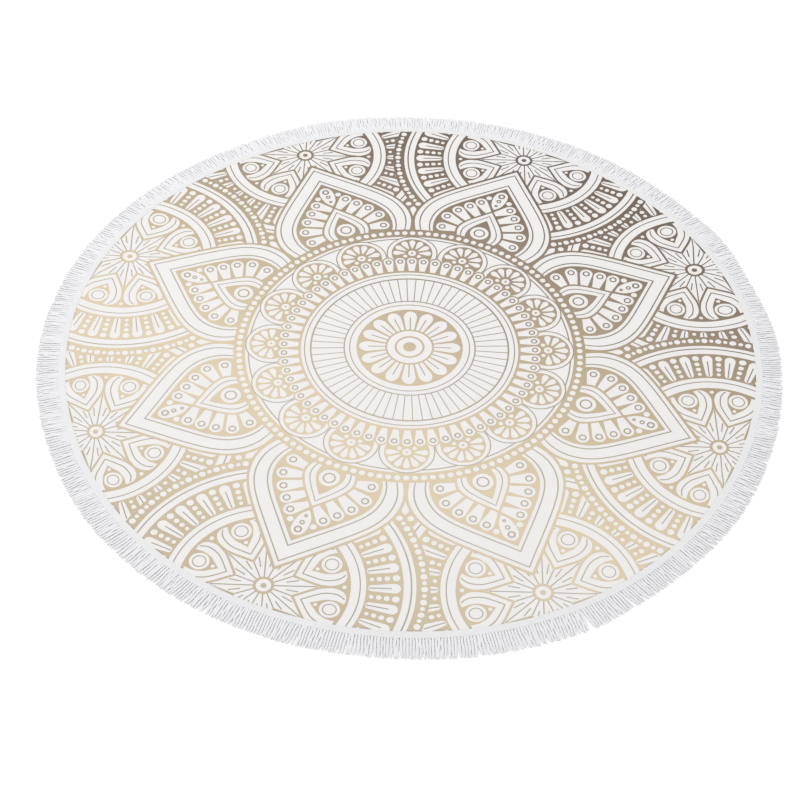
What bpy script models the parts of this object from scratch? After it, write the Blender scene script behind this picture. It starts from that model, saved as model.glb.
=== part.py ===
# Round beach towel: a printed cloth disc, and the fringe trim that is sewn around its edge.
# It lies flat on z = 0 with the middle of its underside at the origin. Metres, angles in degrees.
import math
import random

import bmesh
import bpy

# The cloth disc. Its turned hem is a little thicker than the cloth inside it.
CLOTH_RADIUS = 0.6965
CLOTH_THICKNESS = 0.0026
CLOTH_SIDES = 144
HEM_WIDTH = 0.012
HEM_THICKNESS = 0.0030
HEM_STEP = 0.003
RIM_ROUNDING = 0.0009
RIM_ROUNDING_STEPS = 2
CLOTH_RINGS = (0.07, 0.13, 0.13, 0.13, 0.12)    # width of each ring from the hem to the middle
SWELL_HEIGHT = 0.00025                          # rise of the cloth's soft swells
SWELL_LENGTH = 0.31

# The fringe trim: a woven heading with locks of yarn fused to its outer side.
SEWING_GAP = 0.0003
HEADING_WIDTH = 0.0068
HEADING_THICKNESS = 0.0026
TIP_RADIUS = 0.7500
LOCK_COUNT = 288
LOCK_SWAY = 0.0012                              # how far a lock's tip may stray sideways
LOCK_UNEVENNESS = 0.0018                        # how far a lock's length may differ
LOCK_SEED = 11
# A lock from its root to its tip: how far along, its width against the space it has, its height.
LOCK_STATIONS = (
    {"along": 0.5, "width": 0.86, "height": 0.0024},
    {"along": 1.0, "width": 0.66, "height": 0.0016},
)

# The outline is not quite round: lobes around it, how far each stands out, and where it crests.
CLOTH_LOBES = (
    {"lobes": 1, "rise": 0.0016, "crest": -34.0},
    {"lobes": 2, "rise": 0.0013, "crest": -12.0},
    {"lobes": 3, "rise": 0.0027, "crest": 23.0},
    {"lobes": 5, "rise": 0.0024, "crest": 14.0},
)
TIP_LOBES = (
    {"lobes": 2, "rise": 0.0020, "crest": 90.0},
    {"lobes": 3, "rise": 0.0014, "crest": 39.0},
    {"lobes": 5, "rise": 0.0013, "crest": 17.0},
)

# Places where the locks lie parted: direction, how wide the tips stand open, locks that lean away.
PARTINGS = (
    {"at": 267.6, "open": 0.003, "locks": 2.0},
    {"at": 289.2, "open": 0.006, "locks": 3.0},
    {"at": 295.6, "open": 0.012, "locks": 4.0},
)

CLOTH_COLOUR = (0.86, 0.80, 0.68, 1.0)
FRINGE_COLOUR = (0.86, 0.86, 0.89, 1.0)


def clear_scene():
    for thing in list(bpy.data.objects):
        bpy.data.objects.remove(thing, do_unlink=True)


def fabric(name, colour):
    material = bpy.data.materials.new(name)
    material.use_nodes = True
    shader = material.node_tree.nodes["Principled BSDF"]
    shader.inputs["Base Color"].default_value = colour
    shader.inputs["Roughness"].default_value = 0.9
    shader.inputs["Metallic"].default_value = 0.0
    return material


def lobed(radius, lobes, angle):
    """Radius of an outline with soft lobes, at an angle in radians."""
    for row in lobes:
        radius += row["rise"] * math.cos(row["lobes"] * (angle - math.radians(row["crest"])))
    return radius


def cloth_edge(angle):
    return lobed(CLOTH_RADIUS, CLOTH_LOBES, angle)


def heading_edge(angle):
    return cloth_edge(angle) + SEWING_GAP + HEADING_WIDTH


def tip_edge(angle):
    return lobed(TIP_RADIUS, TIP_LOBES, angle)


def swell(x, y):
    """Soft unevenness of the cloth's upper face."""
    turn = 2.0 * math.pi / SWELL_LENGTH
    return SWELL_HEIGHT * math.sin(turn * x + 0.6) * math.cos(0.8 * turn * y - 0.3)


def set_outline(verts, edge):
    """Put each vertex at its own angle on an outline, keeping its height."""
    for vert in verts:
        angle = math.atan2(vert.co.y, vert.co.x)
        radius = edge(angle)
        vert.co.x = radius * math.cos(angle)
        vert.co.y = radius * math.sin(angle)


def raise_region(bm, height):
    """Give a flat outline its thickness."""
    raised = bmesh.ops.extrude_face_region(bm, geom=bm.faces[:])["geom"]
    verts = [part for part in raised if isinstance(part, bmesh.types.BMVert)]
    bmesh.ops.translate(bm, verts=verts, vec=(0.0, 0.0, height))
    bmesh.ops.recalc_face_normals(bm, faces=bm.faces[:])


def direction(face):
    """Direction of a face from the middle of the towel, from 0 to a full turn."""
    centre = face.calc_center_median()
    return math.atan2(centre.y, centre.x) % (2.0 * math.pi)


def top_face(bm):
    return max(bm.faces, key=lambda face: (round(face.calc_center_median().z, 6), face.calc_area()))


def add_object(name, bm, material, collection):
    mesh = bpy.data.meshes.new(name)
    bm.normal_update()
    bm.to_mesh(mesh)
    bm.free()
    mesh.materials.append(material)
    mesh.shade_smooth()
    mesh.set_sharp_from_angle(angle=math.radians(40.0))
    piece = bpy.data.objects.new(name, mesh)
    collection.objects.link(piece)
    return piece


def build_cloth(collection):
    bm = bmesh.new()
    bmesh.ops.create_circle(bm, cap_ends=True, segments=CLOTH_SIDES, radius=CLOTH_RADIUS)
    set_outline(bm.verts, cloth_edge)
    raise_region(bm, HEM_THICKNESS)

    bmesh.ops.bevel(bm, geom=list(top_face(bm).edges), offset=RIM_ROUNDING, offset_type="OFFSET",
                    affect="EDGES", segments=RIM_ROUNDING_STEPS, profile=0.5, material=-1)

    # The step from the hem down to the cloth, then rings that can carry the swells.
    bmesh.ops.inset_individual(bm, faces=[top_face(bm)], thickness=HEM_WIDTH - RIM_ROUNDING)
    middle = top_face(bm)
    bmesh.ops.inset_individual(bm, faces=[middle], thickness=HEM_STEP,
                               depth=CLOTH_THICKNESS - HEM_THICKNESS)
    ring_verts = list(middle.verts)
    for width in CLOTH_RINGS:
        bmesh.ops.inset_individual(bm, faces=[middle], thickness=width)
        ring_verts.extend(middle.verts)
    ring_verts.extend(bmesh.ops.poke(bm, faces=[middle])["verts"])
    for vert in set(ring_verts):
        vert.co.z = CLOTH_THICKNESS + swell(vert.co.x, vert.co.y)
    return add_object("cloth", bm, fabric("printed_cloth", CLOTH_COLOUR), collection)


def parting_sway(angle):
    """How far the tip of a lock at an angle leans aside, away from the partings near it."""
    lock_step = 2.0 * math.pi / LOCK_COUNT
    sway = 0.0
    for row in PARTINGS:
        away = (angle - math.radians(row["at"])) / lock_step
        sway += 0.5 * row["open"] * math.copysign(math.exp(-abs(away) / row["locks"]), away)
    return sway


def place_lock(face, angle, station, reach, sway):
    """Put the end face of a lock at one station along it, standing level on z = 0."""
    root = heading_edge(angle)
    radius = root + station["along"] * reach
    room = 2.0 * math.pi * radius / LOCK_COUNT
    half_width = 0.5 * station["width"] * room
    out = (math.cos(angle), math.sin(angle))
    side = (-math.sin(angle), math.cos(angle))
    centre_z = face.calc_center_median().z
    for vert in face.verts:
        offset = math.copysign(half_width, vert.co.x * side[0] + vert.co.y * side[1])
        offset += sway * station["along"]
        vert.co.x = radius * out[0] + offset * side[0]
        vert.co.y = radius * out[1] + offset * side[1]
        vert.co.z = station["height"] if vert.co.z > centre_z else 0.0


def build_fringe(collection):
    dice = random.Random(LOCK_SEED)
    bm = bmesh.new()
    bmesh.ops.create_circle(bm, cap_ends=False, segments=LOCK_COUNT, radius=CLOTH_RADIUS)
    set_outline(bm.verts, lambda angle: cloth_edge(angle) + SEWING_GAP)
    grown = bmesh.ops.extrude_edge_only(bm, edges=bm.edges[:])["geom"]
    set_outline([part for part in grown if isinstance(part, bmesh.types.BMVert)], heading_edge)
    raise_region(bm, HEADING_THICKNESS)

    # Each piece of the heading's outer side becomes the root of one lock.
    ends = [face for face in bm.faces if face.normal.dot(face.calc_center_median()) > 0.5 * CLOTH_RADIUS]
    locks = []
    for angle in sorted(direction(face) for face in ends):
        locks.append({
            "angle": angle,
            "reach": tip_edge(angle) - heading_edge(angle) - LOCK_UNEVENNESS * dice.random(),
            "sway": parting_sway(angle) + LOCK_SWAY * dice.uniform(-1.0, 1.0),
        })
    for station in LOCK_STATIONS:
        ends = bmesh.ops.extrude_discrete_faces(bm, faces=ends)["faces"]
        ends.sort(key=direction)
        for lock, face in zip(locks, ends):
            place_lock(face, lock["angle"], station, lock["reach"], lock["sway"])
    return add_object("fringe", bm, fabric("fringe_yarn", FRINGE_COLOUR), collection)


def main():
    clear_scene()
    collection = bpy.data.collections.new("round_beach_towel")
    bpy.context.scene.collection.children.link(collection)
    build_cloth(collection)
    build_fringe(collection)


main()
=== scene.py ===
# Round beach towel lying flat: cloth with a printed mandala, fringe trim, light and camera.
# Metres and degrees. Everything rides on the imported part, which lies on z = 0.
import math
import random

import bmesh
import bpy
from mathutils import Matrix, Vector
from mathutils.geometry import delaunay_2d_cdt


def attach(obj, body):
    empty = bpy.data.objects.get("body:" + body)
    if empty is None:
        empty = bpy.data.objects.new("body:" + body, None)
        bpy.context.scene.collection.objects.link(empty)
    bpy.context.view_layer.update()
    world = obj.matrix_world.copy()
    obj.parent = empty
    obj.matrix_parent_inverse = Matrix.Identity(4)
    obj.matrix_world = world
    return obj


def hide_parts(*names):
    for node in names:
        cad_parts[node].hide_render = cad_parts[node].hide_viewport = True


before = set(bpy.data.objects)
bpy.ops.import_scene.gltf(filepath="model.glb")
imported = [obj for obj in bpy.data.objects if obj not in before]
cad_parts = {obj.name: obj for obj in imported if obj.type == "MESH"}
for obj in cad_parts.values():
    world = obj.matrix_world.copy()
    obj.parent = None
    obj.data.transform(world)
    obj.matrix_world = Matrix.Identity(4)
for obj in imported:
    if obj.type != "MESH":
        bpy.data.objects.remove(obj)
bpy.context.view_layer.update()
fullTurn = 2.0 * math.pi
print("frame loaded, with the nodes", ", ".join(sorted(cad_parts)))


# Outlines that all pieces share. They are the same as in the part's own source.
towel = {
    "clothRadius": 0.6965,
    "clothThickness": 0.0026,
    "hemWidth": 0.012,
    "hemThickness": 0.0030,
    "hemStep": 0.003,
    "swellHeight": 0.00025,        # soft unevenness of the upper face
    "swellLength": 0.31,           # from crest to crest along x
    "swellAcross": 0.8,            # waves along y for each wave along x
    "swellStart": (0.6, -0.3),
    "sewingGap": 0.0003,
    "headingWidth": 0.0068,
    "tipRadius": 0.7500,
    "lockCount": 288,              # locks of yarn in the part, by which the partings are measured
}
clothLobes = (
    {"lobes": 1, "rise": 0.0016, "crest": -34.0},
    {"lobes": 2, "rise": 0.0013, "crest": -12.0},
    {"lobes": 3, "rise": 0.0027, "crest": 23.0},
    {"lobes": 5, "rise": 0.0024, "crest": 14.0},
)
tipLobes = (
    {"lobes": 2, "rise": 0.0020, "crest": 90.0},
    {"lobes": 3, "rise": 0.0014, "crest": 39.0},
    {"lobes": 5, "rise": 0.0013, "crest": 17.0},
)
partings = (
    {"at": 267.6, "open": 0.003, "locks": 2.0},
    {"at": 289.2, "open": 0.006, "locks": 3.0},
    {"at": 295.6, "open": 0.012, "locks": 4.0},
)


def lobed(radius, lobes, angle):
    for row in lobes:
        radius += row["rise"] * math.cos(row["lobes"] * (angle - math.radians(row["crest"])))
    return radius


def clothEdge(angle):
    return lobed(towel["clothRadius"], clothLobes, angle)


def headingEdge(angle):
    return clothEdge(angle) + towel["sewingGap"] + towel["headingWidth"]


def tipEdge(angle):
    return lobed(towel["tipRadius"], tipLobes, angle)


def clothTop(x, y):
    # height of the cloth's upper face: soft swells inside, a level hem at the edge
    turn = fullTurn / towel["swellLength"]
    start = towel["swellStart"]
    swell = math.sin(turn * x + start[0]) * math.cos(towel["swellAcross"] * turn * y + start[1])
    inside = clothEdge(math.atan2(y, x)) - math.hypot(x, y)
    rise = min(max((towel["hemWidth"] + towel["hemStep"] - inside) / towel["hemStep"], 0.0), 1.0)
    inner = towel["clothThickness"] + towel["swellHeight"] * swell
    return (1.0 - rise) * inner + rise * towel["hemThickness"]


# Colours, written as they look on a screen.
def colour(code):
    channels = [int(code[at:at + 2], 16) / 255.0 for at in (1, 3, 5)]
    linear = [c / 12.92 if c <= 0.04045 else ((c + 0.055) / 1.055) ** 2.4 for c in channels]
    return (*linear, 1.0)


# Small helpers for shader trees. A value is a constant, or another node's output to link.
def feed(tree, node, values):
    for name, value in values.items():
        if isinstance(value, bpy.types.NodeSocket):
            tree.links.new(value, node.inputs[name])
        else:
            node.inputs[name].default_value = value


def addNode(tree, kind, settings=None, values=None):
    node = tree.nodes.new(kind)
    for name, value in (settings or {}).items():
        setattr(node, name, value)
    feed(tree, node, values or {})
    return node


def addMath(tree, operation, *terms):
    node = addNode(tree, "ShaderNodeMath", {"operation": operation}, dict(enumerate(terms)))
    return node.outputs[0]


def addNoise(tree, place, scale, detail, roughness):
    node = addNode(tree, "ShaderNodeTexNoise", values={
        "Vector": place, "Scale": scale, "Detail": detail, "Roughness": roughness})
    return node.outputs["Fac"]


def newGroup(name, place, numbers):
    group = bpy.data.node_groups.new(name, "ShaderNodeTree")
    group.interface.new_socket(name=place, in_out="INPUT", socket_type="NodeSocketVector")
    for label, value in numbers.items():
        socket = group.interface.new_socket(name=label, in_out="INPUT", socket_type="NodeSocketFloat")
        socket.default_value = value
    for label in ("Height", "Tone"):
        group.interface.new_socket(name=label, in_out="OUTPUT", socket_type="NodeSocketFloat")
    return group, group.nodes.new("NodeGroupInput").outputs


def closeGroup(group, height, centred, contrast):
    # the height is for a bump; the tone stays around 1 and is for a colour
    tone = addMath(group, "MULTIPLY_ADD", centred, contrast, 1.0)
    feed(group, group.nodes.new("NodeGroupOutput"), {"Height": height, "Tone": tone})
    return group


def placeGroup(tree, group, values):
    return addNode(tree, "ShaderNodeGroup", {"node_tree": group}, values)


def newMaterial(name, values):
    material = bpy.data.materials.new(name)
    material.use_nodes = True
    tree = material.node_tree
    shader = tree.nodes["Principled BSDF"]
    feed(tree, shader, values)
    return material, tree, shader


def makePileGroup():
    # Short sheared pile: fine grain for the bump, broader mottling for the tone.
    group, given = newGroup("shortPile", "Vector", {"Grain": 620.0, "Mottle": 38.0, "Contrast": 0.05})
    grain = addNoise(group, given["Vector"], given["Grain"], detail=2.0, roughness=0.6)
    mottle = addNoise(group, given["Vector"], given["Mottle"], detail=3.0, roughness=0.55)
    height = addMath(group, "MULTIPLY_ADD", mottle, 0.35, grain)
    blend = addMath(group, "MULTIPLY_ADD", grain, 0.5, mottle)
    return closeGroup(group, height, addMath(group, "SUBTRACT", blend, 0.75), given["Contrast"])


def makeTwistGroup():
    # Twisted yarn on a map that runs around the strand (x) and along it (y, in metres).
    group, given = newGroup("twistedYarn", "Map", {"Plies": 3.0, "Lay": 260.0, "Fuzz": 0.3, "Contrast": 0.1})
    parts = addNode(group, "ShaderNodeSeparateXYZ", values={0: given["Map"]})
    around = addMath(group, "MULTIPLY", parts.outputs["X"], given["Plies"])
    climb = addMath(group, "MULTIPLY_ADD", parts.outputs["Y"], given["Lay"], around)
    turn = addMath(group, "MULTIPLY", climb, fullTurn)
    wave = addMath(group, "MULTIPLY_ADD", addMath(group, "SINE", turn), 0.5, 0.5)
    place = addNode(group, "ShaderNodeTexCoord").outputs["Object"]
    fuzz = addNoise(group, place, 900.0, detail=2.0, roughness=0.5)
    height = addMath(group, "MULTIPLY_ADD", fuzz, given["Fuzz"], wave)
    # the tone is darker in the grooves between the plies: painted shade
    return closeGroup(group, height, addMath(group, "SUBTRACT", wave, 1.0), given["Contrast"])


pileGroup = makePileGroup()
twistGroup = makeTwistGroup()


def finishSurface(tree, shader, effect, baseColour, depth, strength):
    # tone times colour into the shader, height into its bump
    tinted = addNode(tree, "ShaderNodeVectorMath", {"operation": "SCALE"},
                     {0: baseColour, "Scale": effect.outputs["Tone"]})
    bump = addNode(tree, "ShaderNodeBump", values={
        "Height": effect.outputs["Height"], "Distance": depth, "Strength": strength})
    feed(tree, shader, {"Base Color": tinted.outputs[0], "Normal": bump.outputs["Normal"]})


def makeFabric(name, white, surface, effect, values, depth, strength):
    # pile takes its place on the towel, and twisted yarn the map of its own strand
    material, tree, shader = newMaterial(name, surface)
    if effect == twistGroup:
        place = {"Map": addNode(tree, "ShaderNodeUVMap", {"uv_map": "yarnMap"}).outputs["UV"]}
    else:
        place = {"Vector": addNode(tree, "ShaderNodeTexCoord").outputs["Object"]}
    given = placeGroup(tree, effect, {**place, **values})
    finishSurface(tree, shader, given, colour(white)[:3], depth, strength)
    return material


yarnSurface = {"Roughness": 0.95, "Sheen Weight": 0.10, "Sheen Roughness": 0.5, "Specular IOR Level": 0.15}


softUpTo = 50.0                    # faces that meet at a smaller angle look rounded, degrees


def addObject(name, data):
    thing = bpy.data.objects.new(name, data)
    bpy.context.scene.collection.objects.link(thing)
    return thing


def addMesh(name, bm, material):
    mesh = bpy.data.meshes.new(name)
    bm.to_mesh(mesh)
    bm.free()
    mesh.materials.append(material)
    return addObject(name, mesh)


def addPiece(name, bm, material, node):
    bm.normal_update()
    piece = addMesh(name, bm, material)
    piece.data.shade_smooth()
    piece.data.set_sharp_from_angle(angle=math.radians(softUpTo))
    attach(piece, "root")
    if node:
        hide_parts(node)
    print(name, "made with", len(piece.data.polygons), "faces")
    return piece


def ofKind(result, kind):
    return [part for part in result["geom"] if isinstance(part, kind)]


def outwards(angle):
    return Vector((math.cos(angle), math.sin(angle), 0.0))


def spinCopies(bm, count):
    # what is there becomes the first of its copies around the towel
    bmesh.ops.spin(bm, geom=bm.verts[:] + bm.edges[:] + bm.faces[:], cent=(0.0, 0.0, 0.0),
                   axis=(0.0, 0.0, 1.0), angle=fullTurn * (count - 1) / count, steps=count - 1,
                   use_duplicate=True)


# Cloth: one round sheet of short pile with a turned hem.
cloth = {
    "sides": 288,
    "rimRounding": 0.0009,
    "rimSteps": 3,
    "rings": 24,
    "firstInset": 0.0002,          # each ring starts this narrow and then shrinks towards the middle
    "white": "#e7e5e3",
    "pileDepth": 0.0004,
}


clothMaterial = makeFabric(
    "whitePile", cloth["white"],
    {"Roughness": 0.92, "Sheen Weight": 0.12, "Sheen Roughness": 0.5, "Specular IOR Level": 0.2},
    pileGroup, {"Grain": 620.0, "Mottle": 30.0, "Contrast": 0.045}, cloth["pileDepth"], strength=0.35)


def topFace(bm):
    return max(bm.faces, key=lambda face: (round(face.calc_center_median().z, 6), face.calc_area()))


def makeCloth():
    bm = bmesh.new()
    bmesh.ops.create_circle(bm, cap_ends=True, segments=cloth["sides"], radius=towel["clothRadius"])
    for vert in bm.verts:
        angle = math.atan2(vert.co.y, vert.co.x)
        vert.co = outwards(angle) * clothEdge(angle)
    raised = ofKind(bmesh.ops.extrude_face_region(bm, geom=bm.faces[:]), bmesh.types.BMVert)
    bmesh.ops.translate(bm, verts=raised, vec=(0.0, 0.0, towel["hemThickness"]))
    bmesh.ops.recalc_face_normals(bm, faces=bm.faces[:])
    bmesh.ops.bevel(bm, geom=list(topFace(bm).edges), offset=cloth["rimRounding"], offset_type="OFFSET",
                    affect="EDGES", segments=cloth["rimSteps"], profile=0.5, material=-1)

    # the hem, the step down from it, and rings that carry the swells
    hemInside = towel["hemWidth"] - cloth["rimRounding"]
    bmesh.ops.inset_individual(bm, faces=[topFace(bm)], thickness=hemInside)
    middle = topFace(bm)
    bmesh.ops.inset_individual(bm, faces=[middle], thickness=towel["hemStep"],
                               depth=towel["clothThickness"] - towel["hemThickness"])
    inner = list(middle.verts)
    for ring in range(cloth["rings"], 0, -1):
        bmesh.ops.inset_individual(bm, faces=[middle], thickness=cloth["firstInset"])
        shrink = ring / (ring + 1.0)
        bmesh.ops.scale(bm, vec=(shrink, shrink, 1.0), verts=list(middle.verts))
        inner.extend(middle.verts)
    inner.extend(bmesh.ops.poke(bm, faces=[middle])["verts"])
    for vert in set(inner):
        vert.co.z = clothTop(vert.co.x, vert.co.y)
    return addPiece("towel_cloth", bm, clothMaterial, "cloth")


clothPiece = makeCloth()


# Mandala print. Its sizes are shares of starRing, the distance from its middle to its stars' middles.
# It is mirrored about each star's axis, so only the cell from one star's axis to the next is cut.
mandala = {
    "starRing": 0.6515,
    "middle": (0.0002, -0.0027),
    "overStar": 66.944,            # direction of a star that lies over its neighbours
    "cell": 45.0,                  # from one star to the next, degrees
    "edge": 1.0675,
    "stretchFrom": 1.0,            # outside this share the print follows the cloth's own edge
    "margin": 0.0010,              # plain cloth left outside the print, metres
    "lift": 0.00012,               # thickness of the ink, metres
    "thinLine": 0.0034,
    "rim": 0.0022,                 # width of the darker edge of the print, painted shade of the heading's lip, metres
}
cutting = {
    "reach": 1.6,                  # the cell's guide ends well outside the print
    "broadRing": 100,              # a ring with more corners than this is never too far off
    "near": 1e-6,                  # corners closer than this become one
    "weld": 2e-6,                  # the same when the cells are joined
    "onAxis": 1e-9,                # a corner closer to its shape's axis lies on it
}
circleSides = {"dot": 12, "eyelet": 14, "ring": 20, "hub": 24, "wheel": 48, "heart": 64, "core": 128,
               "eye": 160, "star": 192, "disc": 256, "edge": 360}
curveSteps = {"drop": 3, "contour": 4, "foot": 5, "petal": 6, "seed": 8, "side": 14}
starRings = (
    {"radius": 0.4575, "ink": "field"},
    {"radius": 0.4190, "ink": "white"},
    {"radius": 0.4077, "ink": "line"},
    {"radius": 0.4035, "ink": "white"},
    {"radius": 0.3840, "ink": "field"},
)
eyeRings = (
    {"radius": 0.2815, "ink": "white"},
    {"radius": 0.2668, "ink": "line"},
    {"radius": 0.2635, "ink": "white"},
    {"radius": 0.2395, "ink": "field"},
)
starBeads = {"count": 128, "at": 0.441, "radii": (0.0099, 0.0070)}
starLeaf = {"count": 32, "from": 0.286, "to": 0.377, "innerEnd": 0.0104, "outerEnd": 0.0165,
            "veinFrom": 0.288, "veinTo": 0.352}
leafBeads = (
    {"at": 0.2975, "radius": 0.0066},
    {"at": 0.318, "radius": 0.0080},
    {"at": 0.340, "radius": 0.0083},
    {"at": 0.365, "radius": 0.0109},
)
# Half contours of a star's eye, from its tip out along its axis.
starEye = {
    "count": 8,
    "white": ((0.0925, 0.0), (0.140, 0.0475), (0.160, 0.061), (0.180, 0.070), (0.200, 0.071),
              (0.215, 0.066), (0.224, 0.056), (0.228, 0.045)),
    "line": ((0.1138, 0.0), (0.140, 0.026), (0.160, 0.0425), (0.180, 0.051), (0.200, 0.0545),
             (0.215, 0.051), (0.2225, 0.0475)),
    "field": ((0.140, 0.0), (0.160, 0.015), (0.175, 0.026), (0.200, 0.034), (0.215, 0.034),
              (0.2275, 0.0325), (0.2375, 0.0320)),
    "outline": 0.0070,
    "outlineTip": 0.0100,
    "lineTip": 0.0023,
    "lineEnd": (0.2279, 0.0438),
    "ringAt": 0.1993,
    "beadAt": 0.157,
    "bead": 0.0060,
    "betweenAt": 0.222,
    "between": 0.0065,
}
starEyeRings = (
    {"radius": 0.0294, "ink": "white"},
    {"radius": 0.0203, "ink": "line"},
    {"radius": 0.0173, "ink": "white"},
)
starFlower = {"tips": 0.157, "notches": 0.083}
starHub = (
    {"radius": 0.0300, "ink": "field"},
    {"radius": 0.0215, "ink": "white"},
    {"radius": 0.0085, "ink": "field"},
)
flowerVeins = (
    {"count": 8, "first": 0.00, "from": 0.027, "to": 0.083},
    {"count": 8, "first": 22.5, "from": 0.027, "to": 0.148},
    {"count": 16, "first": 11.25, "from": 0.064, "to": 0.098},
)
# Contours of a lotus petal from the outside in: widest half width, how far out it is, and the tip.
lotusContours = (
    {"ink": "field", "width": 0.2377, "at": 0.593, "tip": 0.9420},
    {"ink": "white", "width": 0.2299, "at": 0.596, "tip": 0.9290},
    {"ink": "line", "width": 0.2151, "at": 0.600, "tip": 0.9113},
    {"ink": "white", "width": 0.2109, "at": 0.600, "tip": 0.9057},
    {"ink": "line", "width": 0.1779, "at": 0.595, "tip": 0.8528},
    {"ink": "white", "width": 0.1736, "at": 0.595, "tip": 0.8471},
    {"ink": "field", "width": 0.1628, "at": 0.5935, "tip": 0.8317},
)
# How the sides swing from their widest place to the tip, and back under the central disc.
lotusSwing = {"rise": 0.293, "tipAcross": 0.5157, "tipDown": 0.5744,
              "low": ((-0.132, -0.064), (-0.077, -0.019), (-0.042, 0.0))}
# Half contours of the eye inside it, from its tip back under the central disc.
lotusEyes = (
    {"ink": "field", "half": (
        (0.7060, 0.0), (0.665, 0.0345), (0.630, 0.0613), (0.600, 0.0780), (0.578, 0.0820),
        (0.556, 0.0778), (0.530, 0.0640))},
    {"ink": "white", "half": (
        (0.6955, 0.0), (0.660, 0.0300), (0.630, 0.0537), (0.600, 0.0703), (0.578, 0.0748),
        (0.556, 0.0708), (0.530, 0.0580))},
    {"ink": "line", "half": (
        (0.6775, 0.0), (0.660, 0.0135), (0.630, 0.0366), (0.600, 0.0552), (0.578, 0.0610),
        (0.556, 0.0588), (0.530, 0.0480))},
    {"ink": "white", "half": (
        (0.6730, 0.0), (0.660, 0.0097), (0.630, 0.0330), (0.600, 0.0517), (0.578, 0.0575),
        (0.556, 0.0553), (0.530, 0.0445))},
    {"ink": "field", "half": (
        (0.6500, 0.0), (0.630, 0.0155), (0.600, 0.0340), (0.580, 0.0412), (0.560, 0.0420),
        (0.545, 0.0380), (0.530, 0.0320))},
)
lotusEyeMiddle = 0.5815
lotusEyeRings = (
    {"radius": 0.0312, "ink": "white"},
    {"radius": 0.0193, "ink": "line"},
    {"radius": 0.0148, "ink": "white"},
)
# Seeds between the eye and the petal's inner contour: the ring at the outer end, and the root.
lotusSeeds = (
    {"ring": (0.5616, 0.1260), "root": (0.5695, 0.0790)},
    {"ring": (0.6170, 0.1304), "root": (0.6012, 0.0760)},
    {"ring": (0.6610, 0.1080), "root": (0.6310, 0.0610)},
    {"ring": (0.6970, 0.0800), "root": (0.6610, 0.0370)},
    {"ring": (0.7305, 0.0520), "root": (0.6970, 0.0160)},
)
lotusSeed = {"outerEnd": 0.0208, "innerEnd": 0.0118, "ring": 0.0120, "hole": 0.0075}
lotusBud = {
    "half": ((0.8095, 0.0), (0.803, 0.0135), (0.790, 0.0212), (0.772, 0.0236), (0.750, 0.0214),
             (0.730, 0.0150), (0.7110, 0.0)),
    "outline": 0.0050,
    "outlineTip": -0.0070,
    "beadAt": 0.7620,
    "beadAcross": 0.0362,
    "bead": 0.0100,
}
lotusBudRings = (
    {"at": 0.7340, "radius": 0.0058, "hole": 0.0020},
    {"at": 0.7597, "radius": 0.0082, "hole": 0.0040},
    {"at": 0.7865, "radius": 0.0122, "hole": 0.0068},
)
# Half contour of the drop that fills the gap between two lotus petals.
gapDrop = ((0.6670, 0.0), (0.6600, 0.0072), (0.6500, 0.0108), (0.6400, 0.0078), (0.6270, 0.0032),
           (0.6110, 0.0))
discRings = (
    {"radius": 0.5114, "ink": "white"},
    {"radius": 0.5029, "ink": "line"},
    {"radius": 0.4989, "ink": "white"},
)
discEdge = 0.548
discBeads = {"count": 128, "at": 0.5302, "radius": 0.0094}
wheel = {"count": 16, "at": 0.4315, "petals": 7, "petalTurn": 30.0, "petalFrom": 0.0222, "petalTo": 0.0630,
         "petalInner": 0.0024, "petalOuter": 0.0106, "beadTurn": 124.0, "beadAt": 0.0270, "bead": 0.0072}
wheelRims = (
    {"out": 0.0813, "across": 0.0839, "ink": "line"},
    {"out": 0.0776, "across": 0.0804, "ink": "white"},
    {"out": 0.0680, "across": 0.0672, "ink": "field"},
)
wheelHub = (
    {"radius": 0.0134, "ink": "white"},
    {"radius": 0.0040, "ink": "field"},
)
seedBed = 0.372
seed = {"count": 64, "from": 0.3385, "to": 0.4092, "innerEnd": 0.0090, "outerEnd": 0.0163, "outline": 0.005,
        "ringAt": 0.3910, "ring": 0.0104, "hole": 0.0060}
middleRings = (
    {"radius": 0.3459, "ink": "field"},
    {"radius": 0.3385, "ink": "white"},
    {"radius": 0.3288, "ink": "line"},
    {"radius": 0.3254, "ink": "white"},
    {"radius": 0.3105, "ink": "line"},
    {"radius": 0.3053, "ink": "white"},
)
spokes = {"count": 64, "from": 0.204, "to": 0.308, "width": 0.0028}
coreRings = (
    {"radius": 0.2060, "ink": "line"},
    {"radius": 0.2019, "ink": "white"},
    {"radius": 0.1884, "ink": "line"},
    {"radius": 0.1852, "ink": "white"},
    {"radius": 0.1655, "ink": "field"},
)
daisy = {"count": 16, "from": 0.0740, "foot": 0.0122, "roundAt": 0.130, "shoulder": 0.0212, "to": 0.158,
         "veinFrom": 0.0740, "veinTo": 0.130, "vein": 0.0032}
hubRings = (
    {"radius": 0.0762, "ink": "field"},
    {"radius": 0.0700, "ink": "white"},
    {"radius": 0.0468, "ink": "field"},
    {"radius": 0.0403, "ink": "white"},
    {"radius": 0.0200, "ink": "field"},
)
# Gold ink: its colour runs from the far right of the towel to the near left.
goldInk = {
    "towards": (0.50, 0.866),      # direction in which the ink darkens
    "span": 0.66,                  # metres from the middle to either end of the ramp
    "ramp": ((0.00, "#bcad93"), (0.16, "#d0c1a6"), (0.30, "#dacaae"), (0.45, "#cbbb9d"),
             (0.58, "#b8a78a"), (0.70, "#9f8f78"), (0.84, "#7a695a"), (1.00, "#64574d")),
    "fineLineAndShadedRim": (0.72, 0.76, 0.86),    # fine lines are printed denser than broad fields; the print's rim takes this tone as painted shade
}


def polar(radius, degrees):
    turn = math.radians(degrees)
    return (radius * math.cos(turn), radius * math.sin(turn))


def evenTurns(count):
    return [360.0 * k / count for k in range(count)]


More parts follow.
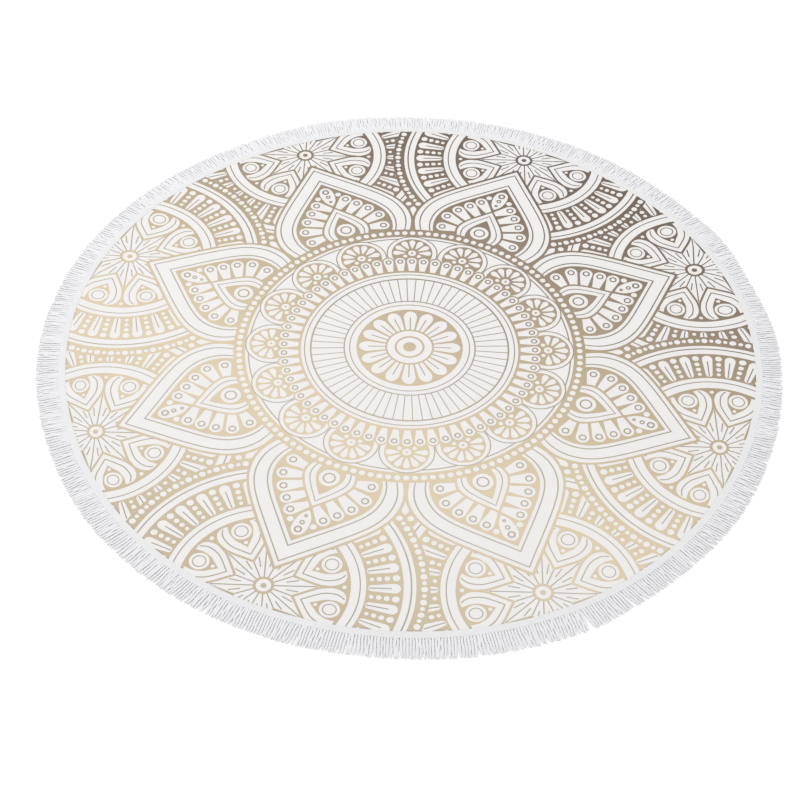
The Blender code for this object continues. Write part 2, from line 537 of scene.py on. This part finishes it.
def oval(middle, halfLong, halfWide, sides):
    corners = [fullTurn * step / sides for step in range(sides)]
    return [(middle[0] + halfLong * math.cos(t), middle[1] + halfWide * math.sin(t)) for t in corners]


def disc(middle, radius, sides=circleSides["dot"]):
    return oval(middle, radius, radius, sides)


def stroke(start, end, width):
    # a straight line along x, as a narrow bar
    return [(start, -0.5 * width), (end, -0.5 * width), (end, 0.5 * width), (start, 0.5 * width)]


def seedShape(start, end, innerEnd, outerEnd, steps=curveSteps["seed"]):
    # along x: two round ends joined by the lines that touch both
    inner = start + innerEnd
    outer = end - outerEnd
    lean = math.asin((outerEnd - innerEnd) / (outer - inner))
    outline = []
    for step in range(steps + 1):
        turn = -0.5 * math.pi - lean + (math.pi + 2.0 * lean) * step / steps
        outline.append((outer + outerEnd * math.cos(turn), outerEnd * math.sin(turn)))
    for step in range(steps + 1):
        turn = 0.5 * math.pi + lean + (math.pi - 2.0 * lean) * step / steps
        outline.append((inner + innerEnd * math.cos(turn), innerEnd * math.sin(turn)))
    return outline


def bezier(handles, steps):
    points = [Vector(handle) for handle in handles]
    curve = []
    for step in range(steps + 1):
        t = step / steps
        s = 1.0 - t
        point = s ** 3 * points[0] + 3 * s * s * t * points[1]
        point += 3 * s * t * t * points[2] + t ** 3 * points[3]
        curve.append((point.x, point.y))
    return curve


def throughPoints(points, steps=curveSteps["contour"]):
    # a smooth curve that passes through each of its points
    known = [Vector(point) for point in points]
    known = [2.0 * known[0] - known[1]] + known + [2.0 * known[-1] - known[-2]]
    curve = []
    for k in range(1, len(known) - 2):
        leave = known[k] + (known[k + 1] - known[k - 1]) / 6.0
        enter = known[k + 1] - (known[k + 2] - known[k]) / 6.0
        curve += bezier((known[k], leave, enter, known[k + 1]), steps)[:-1]
    curve.append(tuple(points[-1]))
    return curve


def bothSides(half):
    # closes a half contour with its mirror image in the x axis
    mirror = [(x, -y) for x, y in half if abs(y) > cutting["onAxis"]]
    return list(half) + mirror[::-1]


def offsetOut(half, by, tip):
    # sets a half contour off to its outer side, and its tip further
    out = []
    for k, (x, y) in enumerate(half):
        before = half[max(k - 1, 0)]
        after = half[min(k + 1, len(half) - 1)]
        run = math.hypot(after[0] - before[0], after[1] - before[1])
        out.append((x - by * (after[1] - before[1]) / run, y + by * (after[0] - before[0]) / run))
    out[0] = (half[0][0] - tip, 0.0)
    return out


def placed(outline, turn, shift):
    c = math.cos(math.radians(turn))
    s = math.sin(math.radians(turn))
    return [(shift[0] + c * x - s * y, shift[1] + s * x + c * y) for x, y in outline]


class Layers:
    # shapes from the lowest to the topmost; each is a broad field of gold, a fine gold line, or white
    def __init__(self):
        self.rows = []

    def add(self, ink, outline, turn=0.0, shift=(0.0, 0.0)):
        self.rows.append((ink, placed(outline, turn, shift)))

    def addEach(self, ink, outline, count, first=0.0):
        for turn in evenTurns(count):
            self.add(ink, outline, first + turn)

    def addEyelet(self, middle, radius, hole, turn=0.0):
        # a fine ring of gold
        self.add("line", disc(middle, radius, circleSides["eyelet"]), turn)
        self.add("white", disc(middle, hole), turn)

    def addRings(self, rings, sides, turn=0.0, shift=(0.0, 0.0)):
        for ring in rings:
            self.add(ring["ink"], disc((0.0, 0.0), ring["radius"], sides), turn, shift)

    def addAll(self, other, turn=0.0, shift=(0.0, 0.0)):
        for ink, outline in other.rows:
            self.add(ink, outline, turn, shift)


def drawStar():
    # x points from the star's middle to the mandala's middle
    star = Layers()
    star.addRings(starRings[:1], circleSides["star"])
    for k, turn in enumerate(evenTurns(starBeads["count"])):
        star.add("white", disc((starBeads["at"], 0.0), starBeads["radii"][k % 2]), turn)
    star.addRings(starRings[1:], circleSides["star"])
    leaf = seedShape(starLeaf["from"], starLeaf["to"], starLeaf["innerEnd"], starLeaf["outerEnd"])
    for turn in evenTurns(starLeaf["count"]):
        star.add("white", leaf, turn)
        star.add("line", stroke(starLeaf["veinFrom"], starLeaf["veinTo"], mandala["thinLine"]), turn)
        for bead in leafBeads:
            star.add("white", disc((bead["at"], 0.0), bead["radius"]), turn + 180.0 / starLeaf["count"])
    star.addRings(eyeRings, circleSides["eye"])

    corners = []
    between = 180.0 / starEye["count"]
    for turn in evenTurns(starEye["count"]):
        corners += [polar(starFlower["notches"], turn), polar(starFlower["tips"], turn + between)]
    star.add("white", corners)
    for vein in flowerVeins:
        bar = stroke(vein["from"], vein["to"], mandala["thinLine"])
        star.addEach("line", bar, vein["count"], vein["first"])
    star.addRings(starHub, circleSides["hub"])

    white = throughPoints(starEye["white"])
    line = throughPoints(starEye["line"])
    field = throughPoints(starEye["field"])
    half = 0.5 * mandala["thinLine"]
    for turn in evenTurns(starEye["count"]):
        star.add("field", bothSides(offsetOut(white, starEye["outline"], starEye["outlineTip"])), turn)
        star.add("white", bothSides(white), turn)
        star.add("line", bothSides(offsetOut(line, half, starEye["lineTip"])), turn)
        inside = offsetOut(line, -half, -starEye["lineTip"])[:-1] + [starEye["lineEnd"]]
        star.add("white", bothSides(inside), turn)
        star.add("field", bothSides(field), turn)
        star.addRings(starEyeRings, circleSides["ring"], turn, polar(starEye["ringAt"], turn))
        star.add("white", disc((starEye["beadAt"], 0.0), starEye["bead"]), turn)
        star.add("white", disc((starEye["betweenAt"], 0.0), starEye["between"]), turn + between)
    return star


def petalOutline(row):
    # x points out of the mandala; the foot of the petal hides under the central disc
    widest = Vector((row["at"], row["width"]))
    tip = Vector((row["tip"], 0.0))
    reach = row["tip"] - row["at"]
    low = [widest + Vector(step) for step in lotusSwing["low"]]
    side = bezier((tip, tip + reach * Vector((-lotusSwing["tipDown"], lotusSwing["tipAcross"])),
                   widest + reach * Vector((lotusSwing["rise"], 0.0)), widest), curveSteps["side"])
    foot = bezier((widest, low[2], low[1], low[0]), curveSteps["foot"])
    return bothSides(side + foot[1:])


def drawLotus():
    lotus = Layers()
    for row in lotusContours:
        lotus.add(row["ink"], petalOutline(row))
    for row in lotusSeeds:
        for side in (1.0, -1.0):
            ring = Vector((row["ring"][0], side * row["ring"][1]))
            root = Vector((row["root"][0], side * row["root"][1]))
            run = ring - root
            body = seedShape(-lotusSeed["innerEnd"], run.length + lotusSeed["outerEnd"],
                             lotusSeed["innerEnd"], lotusSeed["outerEnd"])
            lotus.add("white", body, math.degrees(math.atan2(run.y, run.x)), tuple(root))
            lotus.addEyelet(ring, lotusSeed["ring"], lotusSeed["hole"])
    for row in lotusEyes:
        lotus.add(row["ink"], bothSides(throughPoints(row["half"])))
    lotus.addRings(lotusEyeRings, circleSides["ring"], 0.0, (lotusEyeMiddle, 0.0))
    bud = throughPoints(lotusBud["half"], curveSteps["drop"])
    around = offsetOut(bud, -lotusBud["outline"], lotusBud["outlineTip"])
    around[-1] = (bud[-1][0] + lotusBud["outlineTip"], 0.0)
    lotus.add("field", bothSides(around))
    lotus.add("white", bothSides(bud))
    for ring in lotusBudRings:
        lotus.addEyelet((ring["at"], 0.0), ring["radius"], ring["hole"])
    for side in (1.0, -1.0):
        lotus.add("white", disc((lotusBud["beadAt"], side * lotusBud["beadAcross"]), lotusBud["bead"]))
    return lotus


def drawDisc():
    middle = Layers()
    middle.add("field", disc((0.0, 0.0), discEdge, circleSides["disc"]))
    middle.addEach("white", disc((discBeads["at"], 0.0), discBeads["radius"]), discBeads["count"])
    middle.addRings(discRings, circleSides["disc"])

    # all outer rims first, so that neighbours share them
    spots = [(turn, polar(wheel["at"], turn)) for turn in evenTurns(wheel["count"])]
    for rim in wheelRims:
        for turn, spot in spots:
            outline = oval((0.0, 0.0), rim["out"], rim["across"], circleSides["wheel"])
            middle.add(rim["ink"], outline, turn, spot)
    petal = seedShape(wheel["petalFrom"], wheel["petalTo"], wheel["petalInner"], wheel["petalOuter"],
                      curveSteps["petal"])
    for turn, spot in spots:
        for k in range(wheel["petals"]):
            lean = wheel["petalTurn"] * (k - (wheel["petals"] - 1) // 2)
            middle.add("white", petal, turn + lean, spot)
        middle.addRings(wheelHub, circleSides["ring"], turn, spot)

    middle.add("field", disc((0.0, 0.0), seedBed, circleSides["star"]))
    grow = seed["outline"]
    outer = seedShape(seed["from"], seed["to"] + grow, seed["innerEnd"] + grow, seed["outerEnd"] + grow)
    inner = seedShape(seed["from"], seed["to"], seed["innerEnd"], seed["outerEnd"])
    middle.addEach("field", outer, seed["count"])
    for turn in evenTurns(seed["count"]):
        middle.add("white", inner, turn)
        middle.addEyelet((seed["ringAt"], 0.0), seed["ring"], seed["hole"], turn)
    for turn, spot in spots:
        for side in (1.0, -1.0):
            bead = polar(wheel["beadAt"], side * wheel["beadTurn"])
            middle.add("white", disc((wheel["at"] + bead[0], bead[1]), wheel["bead"]), turn)
    middle.addRings(middleRings, circleSides["star"])
    spoke = stroke(spokes["from"], spokes["to"], spokes["width"])
    middle.addEach("line", spoke, spokes["count"], 180.0 / spokes["count"])
    middle.addRings(coreRings, circleSides["core"])

    half = []
    for step in range(curveSteps["petal"] + 1):
        turn = 0.5 * math.pi * step / curveSteps["petal"]
        half.append((daisy["roundAt"] + (daisy["to"] - daisy["roundAt"]) * math.cos(turn),
                     daisy["shoulder"] * math.sin(turn)))
    half.append((daisy["from"], daisy["foot"]))
    for turn in evenTurns(daisy["count"]):
        middle.add("white", bothSides(half), turn)
        middle.add("line", stroke(daisy["veinFrom"], daisy["veinTo"], daisy["vein"]), turn)
    middle.addRings(hubRings, circleSides["heart"])
    return middle


def drawCell():
    # from the axis of an upper star to that of a lower one
    width = mandala["cell"]
    cell = Layers()
    cell.add("field", disc((0.0, 0.0), mandala["edge"], circleSides["edge"]))
    star = drawStar()
    lotus = drawLotus()
    cell.addAll(star, 180.0 + width, polar(1.0, width))
    cell.addAll(star, 180.0, (1.0, 0.0))
    cell.add("white", bothSides(throughPoints(gapDrop, curveSteps["drop"])), 0.5 * width)
    cell.addAll(lotus)
    cell.addAll(lotus, width)
    cell.addAll(drawDisc())
    return [row for row in cell.rows if reachesCell(row[1])]


def reachesCell(outline):
    if max(y for x, y in outline) < 0.0 or min(y - x for x, y in outline) > 0.0:
        return False
    nearest = min(math.hypot(x, y) for x, y in outline)
    return nearest < mandala["edge"] or len(outline) > cutting["broadRing"]


def hemShares():
    # shares at which the print crosses the two edges of the hem's step
    outer = towel["hemWidth"] - mandala["margin"]
    inner = outer + towel["hemStep"]
    return mandala["edge"] - inner / mandala["starRing"], mandala["edge"] - outer / mandala["starRing"]


def turnsLeft(outline):
    pairs = zip(outline, outline[1:] + outline[:1])
    return sum(a[0] * b[1] - b[0] * a[1] for a, b in pairs) > 0.0


def cutCell():
    # cuts all outlines against each other, and keeps each piece whose topmost shape is inked
    rows = drawCell()
    reach = cutting["reach"]
    guides = [[(0.0, 0.0), (reach, 0.0), (reach, reach)]]
    shadedRimFrom = mandala["edge"] - mandala["rim"] / mandala["starRing"]
    guides += [disc((0.0, 0.0), share, circleSides["edge"]) for share in (*hemShares(), shadedRimFrom)]
    points = []
    faces = []
    for outline in guides + [outline for ink, outline in rows]:
        loop = list(range(len(points), len(points) + len(outline)))
        faces.append(loop if turnsLeft(outline) else loop[::-1])
        points.extend(Vector(point) for point in outline)
    cut = delaunay_2d_cdt(points, [], faces, 0, cutting["near"], True)
    verts, pieces, fromFaces = cut[0], cut[2], cut[5]
    kept = []
    for piece, origins in zip(pieces, fromFaces):
        if 0 not in origins or len(guides) not in origins:
            continue
        ink = rows[max(origins) - len(guides)][0]
        if ink == "field" and len(guides) - 1 not in origins:
            ink = "line"           # the rim of the print takes the fine lines' darker tone as painted shade of the heading's lip
        if ink != "white":
            kept.append((ink, piece))
    return verts, kept


def printPlace(point):
    # from shares of the mandala to metres on the towel, following the cloth's edge near the rim
    ring = mandala["starRing"]
    middle = Vector(mandala["middle"])
    share = point.length
    spot = middle + ring * point
    if share > mandala["stretchFrom"]:
        angle = math.atan2(spot.y, spot.x)
        edge = clothEdge(angle) - mandala["margin"]
        hem = hemShares()[0]
        if share < hem:
            start = (middle + ring * mandala["stretchFrom"] * point / share).length
            along = (share - mandala["stretchFrom"]) / (hem - mandala["stretchFrom"])
            radius = start + along * (edge - (mandala["edge"] - hem) * ring - start)
        else:
            radius = edge - (mandala["edge"] - share) * ring
        spot = outwards(angle).xy * radius
    return spot


def makeInkMaterial():
    material, tree, shader = newMaterial("goldInk", {
        "Roughness": 0.62, "Sheen Weight": 0.08, "Sheen Roughness": 0.5, "Specular IOR Level": 0.35})
    place = addNode(tree, "ShaderNodeTexCoord").outputs["Object"]
    towards = Vector((*goldInk["towards"], 0.0)).normalized()
    along = addNode(tree, "ShaderNodeVectorMath", {"operation": "DOT_PRODUCT"}, {0: place, 1: towards})
    share = addNode(tree, "ShaderNodeMapRange", values={
        "Value": along.outputs["Value"], "From Min": -goldInk["span"], "From Max": goldInk["span"]})
    ramp = addNode(tree, "ShaderNodeValToRGB", values={"Fac": share.outputs["Result"]})
    ramp.color_ramp.interpolation = "B_SPLINE"
    stops = ramp.color_ramp.elements
    while len(stops) < len(goldInk["ramp"]):
        stops.new(0.5)
    for stop, (at, code) in zip(stops, goldInk["ramp"]):
        stop.position = at
        stop.color = colour(code)
    # fine lines are darker print; at the print's rim the same darkening is painted shade of the heading's
    # lip
    fineLineAndShadedRim = addNode(tree, "ShaderNodeAttribute", {"attribute_name": "fineLineAndShadedRim"})
    denser = addNode(tree, "ShaderNodeMix", {"data_type": "VECTOR"},
                     {0: fineLineAndShadedRim.outputs["Fac"], 4: (1.0, 1.0, 1.0), 5: goldInk["fineLineAndShadedRim"]})
    inked = addNode(tree, "ShaderNodeVectorMath", {"operation": "MULTIPLY"},
                    {0: ramp.outputs["Color"], 1: denser.outputs[1]})
    pile = placeGroup(tree, pileGroup, {"Vector": place, "Grain": 620.0, "Mottle": 30.0, "Contrast": 0.12})
    finishSurface(tree, shader, pile, inked.outputs[0], cloth["pileDepth"], strength=0.30)
    return material


def makePrint():
    verts, kept = cutCell()
    bm = bmesh.new()
    fineLineAndShadedRim = bm.faces.layers.float.new("fineLineAndShadedRim")
    made = {}
    for ink, piece in kept:
        for index in piece:
            if index not in made:
                made[index] = bm.verts.new(verts[index].to_3d())
        face = bm.faces.new([made[index] for index in piece])
        face[fineLineAndShadedRim] = 1.0 if ink == "line" else 0.0
    print("one cell of the print cut into", len(kept), "gold pieces")

    mirrored = bmesh.ops.duplicate(bm, geom=bm.verts[:] + bm.edges[:] + bm.faces[:])
    bmesh.ops.scale(bm, vec=(1.0, -1.0, 1.0), verts=ofKind(mirrored, bmesh.types.BMVert))
    bmesh.ops.reverse_faces(bm, faces=ofKind(mirrored, bmesh.types.BMFace))
    bmesh.ops.rotate(bm, cent=(0.0, 0.0, 0.0), verts=bm.verts[:],
                     matrix=Matrix.Rotation(math.radians(mandala["overStar"]), 3, "Z"))
    spinCopies(bm, round(180.0 / mandala["cell"]))
    bmesh.ops.remove_doubles(bm, verts=bm.verts[:], dist=cutting["weld"])
    for vert in bm.verts:
        spot = printPlace(vert.co.xy)
        vert.co = Vector((spot.x, spot.y, clothTop(spot.x, spot.y) + mandala["lift"]))
    return addPiece("gold_print", bm, makeInkMaterial(), None)


printPiece = makePrint()


# Fringe trim. Its strands and stitches are rings of short tubes that are drawn out station by station.
def ringOfStrands(count, sides, stations, lieAt):
    # lieAt(number, station) gives the middle, the sideways and the upward half size of a section
    bm = bmesh.new()
    number = bm.faces.layers.int.new("number")
    across = bm.verts.layers.float.new("across")
    upward = bm.verts.layers.float.new("upward")
    along = bm.verts.layers.float.new("along")
    bmesh.ops.create_circle(bm, cap_ends=True, segments=sides, radius=1.0)
    for vert in bm.verts:
        vert[across] = vert.co.x
        vert[upward] = vert.co.y
    spinCopies(bm, count)
    ends = bm.faces[:]
    for k, face in enumerate(ends):
        face[number] = k
    for step, station in enumerate(stations):
        if step:
            ends = bmesh.ops.extrude_discrete_faces(bm, faces=ends)["faces"]
        for face in ends:
            middle, aside, up, gone = lieAt(face[number], station)
            for vert in face.verts:
                vert.co = middle + vert[across] * aside + vert[upward] * up
                vert[along] = gone
    bmesh.ops.holes_fill(bm, edges=[edge for edge in bm.edges if edge.is_boundary], sides=sides)
    bmesh.ops.recalc_face_normals(bm, faces=bm.faces[:])

    # the map runs once around each strand, and along it in metres
    uv = bm.loops.layers.uv.new("yarnMap")
    for face in bm.faces:
        turns = [math.atan2(loop.vert[upward], loop.vert[across]) / fullTurn for loop in face.loops]
        for loop, turn in zip(face.loops, turns):
            if max(turns) - turn > 0.5:
                turn += 1.0
            loop[uv].uv = (turn, loop.vert[along])
    return bm


# Cords: soft twisted yarn that lies outwards on the ground, a little wavy and in clumps.
cords = {
    "count": 800,
    "sides": 6,
    "seed": 23,
    "tuck": 0.0016,                # how far a root reaches into the heading
    "longer": 0.0024,              # how far the soft tips reach past the part's locks
    "longerLobe": {"lobes": 1, "rise": 0.0016, "crest": 45.0},
    "shortest": 0.0026,            # how much shorter than its neighbours a cord may be
    "size": (0.85, 1.12),          # thinnest and thickest cord
    "stray": 0.00084,              # how far a tip usually strays sideways on its own
    "bend": 1.4,                   # above 1 a lean shows more towards the tip
    "wave": 0.0013,
    "waves": 1.6,                  # waves along a cord
    "waveFrom": 0.25,              # share of the cord by which its waves are full
    "stack": 0.0012,               # how high a cord may ride on its neighbours
    "stackFall": 1.4,              # it rides highest at half of this share
    "clear": 0.0001,               # height above the ground
    "rootRise": 0.0005,            # extra height at the root
    "rootFall": 6.0,               # the extra height is gone at one part in so many
    "tuft": (3, 9),                # fewest and most cords in a tuft
    "gather": 0.05,                # share of their spacing by which a tuft's tips draw together
    "fullness": 1.04,              # width against that in the table, and how it changes around the towel
    "fullnessLobe": {"lobes": 1, "rise": 0.10, "crest": 115.0},
    "white": "#eeeef1",
    "twistDepth": 0.0005,
}
cordStations = (
    {"along": 0.00, "wide": 0.0028, "tall": 0.0011},
    {"along": 0.16, "wide": 0.0028, "tall": 0.0014},
    {"along": 0.40, "wide": 0.0026, "tall": 0.0015},
    {"along": 0.68, "wide": 0.0025, "tall": 0.0014},
    {"along": 0.90, "wide": 0.0022, "tall": 0.0013},
    {"along": 1.00, "wide": 0.0014, "tall": 0.0008},
)
# Places where the tips lie further out or in: direction, half width in degrees, and by how much.
tipWaves = (
    {"at": 16.0, "spread": 5.0, "longer": -0.0040},
    {"at": 26.0, "spread": 3.5, "longer": 0.0032},
    {"at": 42.0, "spread": 5.0, "longer": -0.0026},
    {"at": 86.0, "spread": 11.0, "longer": -0.0044},
    {"at": 106.0, "spread": 5.0, "longer": 0.0030},
    {"at": 123.0, "spread": 5.0, "longer": -0.0020},
    {"at": 184.0, "spread": 8.0, "longer": 0.0019},
    {"at": 218.0, "spread": 5.0, "longer": 0.0020},
    {"at": 267.0, "spread": 6.0, "longer": -0.0024},
    {"at": 296.0, "spread": 3.5, "longer": 0.0030},
    {"at": 309.0, "spread": 7.0, "longer": -0.0042},
    {"at": 360.0, "spread": 4.0, "longer": 0.0024},
)
# Clumps of cords that lean together: how many around the towel, and how far their tips lean.
clumps = (
    {"around": 131, "lean": 0.0005, "phase": 0.4},
    {"around": 83, "lean": 0.0008, "phase": 2.1},
    {"around": 47, "lean": 0.0014, "phase": 4.4},
    {"around": 19, "lean": 0.0030, "phase": 1.3},
)


def cordLean(angle):
    lean = 0.0
    for row in clumps:
        lean += row["lean"] * math.sin(row["around"] * angle + row["phase"])
    lockStep = fullTurn / towel["lockCount"]
    for row in partings:
        away = (angle - math.radians(row["at"])) / lockStep
        lean += 0.5 * row["open"] * math.copysign(math.exp(-abs(away) / row["locks"]), away)
    return lean


def cordTip(angle):
    radius = lobed(tipEdge(angle) + cords["longer"], [cords["longerLobe"]], angle)
    for row in tipWaves:
        away = (math.degrees(angle) - row["at"] + 180.0) % 360.0 - 180.0
        radius += row["longer"] * math.exp(-0.5 * (away / row["spread"]) ** 2)
    return radius


# its Contrast sets the painted shade in the grooves of the twist
yarnMaterial = makeFabric(
    "whiteYarn", cords["white"], yarnSurface, twistGroup,
    {"Plies": 3.0, "Lay": 190.0, "Fuzz": 0.5, "Contrast": 0.12}, cords["twistDepth"], strength=0.5)


def makeCords():
    dice = random.Random(cords["seed"])
    pitch = fullTurn * towel["tipRadius"] / cords["count"]
    tuft = []
    strands = []
    for k in range(cords["count"]):
        if not tuft:
            size = dice.randint(*cords["tuft"])
            tuft = [cords["gather"] * pitch * (0.5 * (size - 1) - place) for place in range(size)]
        angle = fullTurn * (k + 0.5) / cords["count"]
        root = headingEdge(angle) - cords["tuck"]
        strands.append({
            "angle": angle,
            "root": root,
            "reach": cordTip(angle) - cords["shortest"] * dice.random() ** 2 - root,
            "lean": cordLean(angle) + tuft.pop(0) + dice.gauss(0.0, cords["stray"]),
            "wave": cords["wave"] * dice.uniform(-1.0, 1.0),
            "phase": dice.uniform(0.0, fullTurn),
            "lift": cords["stack"] * dice.random(),
            "size": dice.uniform(*cords["size"]),
            "fullness": lobed(cords["fullness"], [cords["fullnessLobe"]], angle),
        })

    def lieAt(k, station):
        strand = strands[k]
        along = station["along"]
        out = outwards(strand["angle"])
        aside = Vector((-out.y, out.x, 0.0))
        drift = strand["lean"] * along ** cords["bend"]
        wave = strand["wave"] * math.sin(cords["waves"] * fullTurn * along + strand["phase"])
        drift += wave * min(along / cords["waveFrom"], 1.0)
        tall = station["tall"] * strand["size"]
        height = tall + cords["clear"] + strand["lift"] * along * (cords["stackFall"] - along)
        height += cords["rootRise"] * max(0.0, 1.0 - cords["rootFall"] * along)
        middle = out * (strand["root"] + along * strand["reach"]) + aside * drift
        middle.z = height
        wide = station["wide"] * strand["size"] * strand["fullness"]
        return middle, aside * wide, Vector((0.0, 0.0, tall)), along * strand["reach"]

    bm = ringOfStrands(cords["count"], cords["sides"], cordStations, lieAt)
    return addPiece("fringe_cords", bm, yarnMaterial, "fringe")


cordPiece = makeCords()


# Heading: the woven strip that carries the cords, with one rib for each of them.
heading = {
    "ribs": 800,
    "stepsPerRib": 4,
    "ribHeight": 0.00022,
    "weaveDepth": 0.0003,
    "white": "#e3e3e4",
}
# Its section from its lip on the cloth outwards: metres out from the cloth's edge, and up. The ribs
# raise each place by its own share of their height.
headingSection = (
    {"out": 0.00035, "up": 0.00304, "rib": 0.0},
    {"out": -0.0009, "up": 0.00304, "rib": 0.0},
    {"out": -0.0009, "up": 0.00324, "rib": 0.5},
    {"out": -0.0003, "up": 0.00340, "rib": 1.0},
    {"out": 0.0020, "up": 0.00340, "rib": 1.0},
    {"out": 0.0050, "up": 0.00345, "rib": 1.0},
    {"out": 0.0104, "up": 0.00350, "rib": 1.0},
    {"out": 0.0122, "up": 0.00325, "rib": 0.5},
    {"out": 0.0130, "up": 0.00080, "rib": 0.0},
    {"out": 0.0071, "up": 0.00005, "rib": 0.0},
    {"out": 0.00035, "up": 0.00005, "rib": 0.0},
)


headingMaterial = makeFabric(
    "wovenHeading", heading["white"], yarnSurface, pileGroup,
    {"Grain": 1400.0, "Mottle": 120.0, "Contrast": 0.10}, heading["weaveDepth"], strength=0.5)


def makeHeading():
    bm = bmesh.new()
    out = bm.verts.layers.float.new("out")
    up = bm.verts.layers.float.new("up")
    rib = bm.verts.layers.float.new("rib")
    ring = []
    for corner in headingSection:
        vert = bm.verts.new((towel["clothRadius"], 0.0, 0.0))
        vert[out] = corner["out"]
        vert[up] = corner["up"]
        vert[rib] = corner["rib"]
        ring.append(vert)
    for k, vert in enumerate(ring):
        bm.edges.new((vert, ring[(k + 1) % len(ring)]))
    steps = heading["ribs"] * heading["stepsPerRib"]
    bmesh.ops.spin(bm, geom=bm.verts[:] + bm.edges[:], cent=(0.0, 0.0, 0.0), axis=(0.0, 0.0, 1.0),
                   angle=fullTurn, steps=steps, use_merge=True, use_duplicate=False)
    for vert in bm.verts:
        angle = math.atan2(vert.co.y, vert.co.x)
        swell = 0.5 - 0.5 * math.cos(heading["ribs"] * angle)
        vert.co = outwards(angle) * (clothEdge(angle) + vert[out])
        vert.co.z = vert[up] + vert[rib] * heading["ribHeight"] * swell
    bmesh.ops.recalc_face_normals(bm, faces=bm.faces[:])
    return addPiece("fringe_heading", bm, headingMaterial, "fringe")


headingPiece = makeHeading()


# Stitching: one row of thread along the heading's lip, and one along its middle.
stitching = {
    "sides": 5,
    "thread": 0.00030,
    "twistDepth": 0.0001,
    "white": "#efeeee",
}
stitchRows = (
    {"count": 1240, "out": 0.0002, "length": 0.0025, "from": 0.00352},
    {"count": 1240, "out": 0.0056, "length": 0.0025, "from": 0.00352},
)
stitchStations = (
    {"along": 0.00, "rise": -0.0002},
    {"along": 0.25, "rise": 0.0002},
    {"along": 0.75, "rise": 0.0002},
    {"along": 1.00, "rise": -0.0002},
)


# its Contrast sets the painted shade in the grooves of the twist
stitchMaterial = makeFabric(
    "whiteThread", stitching["white"], {"Roughness": 0.8, "Specular IOR Level": 0.3},
    twistGroup, {"Plies": 2.0, "Lay": 900.0, "Fuzz": 0.1, "Contrast": 0.08}, stitching["twistDepth"],
    strength=0.4)


def makeStitchRow(row):
    def lieAt(k, station):
        start = fullTurn * k / row["count"]
        angle = start + station["along"] * row["length"] / towel["clothRadius"]
        out = outwards(angle)
        middle = out * (clothEdge(angle) + row["out"])
        middle.z = row["from"] + station["rise"]
        gone = station["along"] * row["length"]
        return middle, out * stitching["thread"], Vector((0.0, 0.0, stitching["thread"])), gone

    return ringOfStrands(row["count"], stitching["sides"], stitchStations, lieAt)


seamStitches = addPiece("seam_stitching", makeStitchRow(stitchRows[0]), stitchMaterial, None)
headingStitches = addPiece("heading_stitching", makeStitchRow(stitchRows[1]), stitchMaterial, None)


# Plain pale floor.
floor = {
    "half": 9.0,
    "below": 0.0002,               # it lies just under the towel
    "white": "#fbfbfb",
}


def makeFloor():
    surface = {"Base Color": colour(floor["white"]), "Roughness": 0.9, "Specular IOR Level": 0.1}
    bm = bmesh.new()
    bmesh.ops.create_grid(bm, x_segments=1, y_segments=1, size=floor["half"])
    bmesh.ops.translate(bm, verts=bm.verts[:], vec=(0.0, 0.0, -floor["below"]))
    addMesh("floor", bm, newMaterial("paleFloor", surface)[0])


makeFloor()


# Soft studio light: an even pale surround and one wide lamp from the upper left.
studio = {
    "surround": "#ffffff",
    "surroundStrength": 0.95,
    "lampEnergy": 30.0,
    "lampSize": 3.0,
    "lampAt": (-1.6, 1.2, 3.2),
}


def makeLight():
    scene = bpy.context.scene
    scene.view_settings.view_transform = "Standard"
    world = bpy.data.worlds.new("studio")
    world.use_nodes = True
    ground = world.node_tree.nodes["Background"]
    ground.inputs["Color"].default_value = colour(studio["surround"])
    ground.inputs["Strength"].default_value = studio["surroundStrength"]
    scene.world = world
    light = bpy.data.lights.new("softLamp", "AREA")
    light.shape = "DISK"
    light.size = studio["lampSize"]
    light.energy = studio["lampEnergy"]
    lamp = addObject("softLamp", light)
    lamp.location = studio["lampAt"]
    lamp.rotation_euler = (-Vector(studio["lampAt"])).to_track_quat("-Z", "Y").to_euler()


makeLight()


# Camera at the photo's place.
photoView = {
    "lens": 73.3,
    "elevation": 47.594,
    "roll": 1.0254,
    "distance": 3.2086,
    "aim": (-0.0174, -0.1491, 0.0027),
    "sees": (0.05, 100.0),         # nearest and farthest distance
}


def makeCamera():
    lens = bpy.data.cameras.new("photoCamera")
    lens.lens = photoView["lens"]
    lens.clip_start, lens.clip_end = photoView["sees"]
    turn = Matrix.Rotation(math.radians(90.0 - photoView["elevation"]), 4, "X")
    turn = turn @ Matrix.Rotation(math.radians(photoView["roll"]), 4, "Z")
    place = Vector(photoView["aim"]) + photoView["distance"] * turn.col[2].xyz
    camera = addObject("photoCamera", lens)
    camera.matrix_world = Matrix.Translation(place) @ turn
    bpy.context.scene.camera = camera


makeCamera()
print("floor, light and camera set")
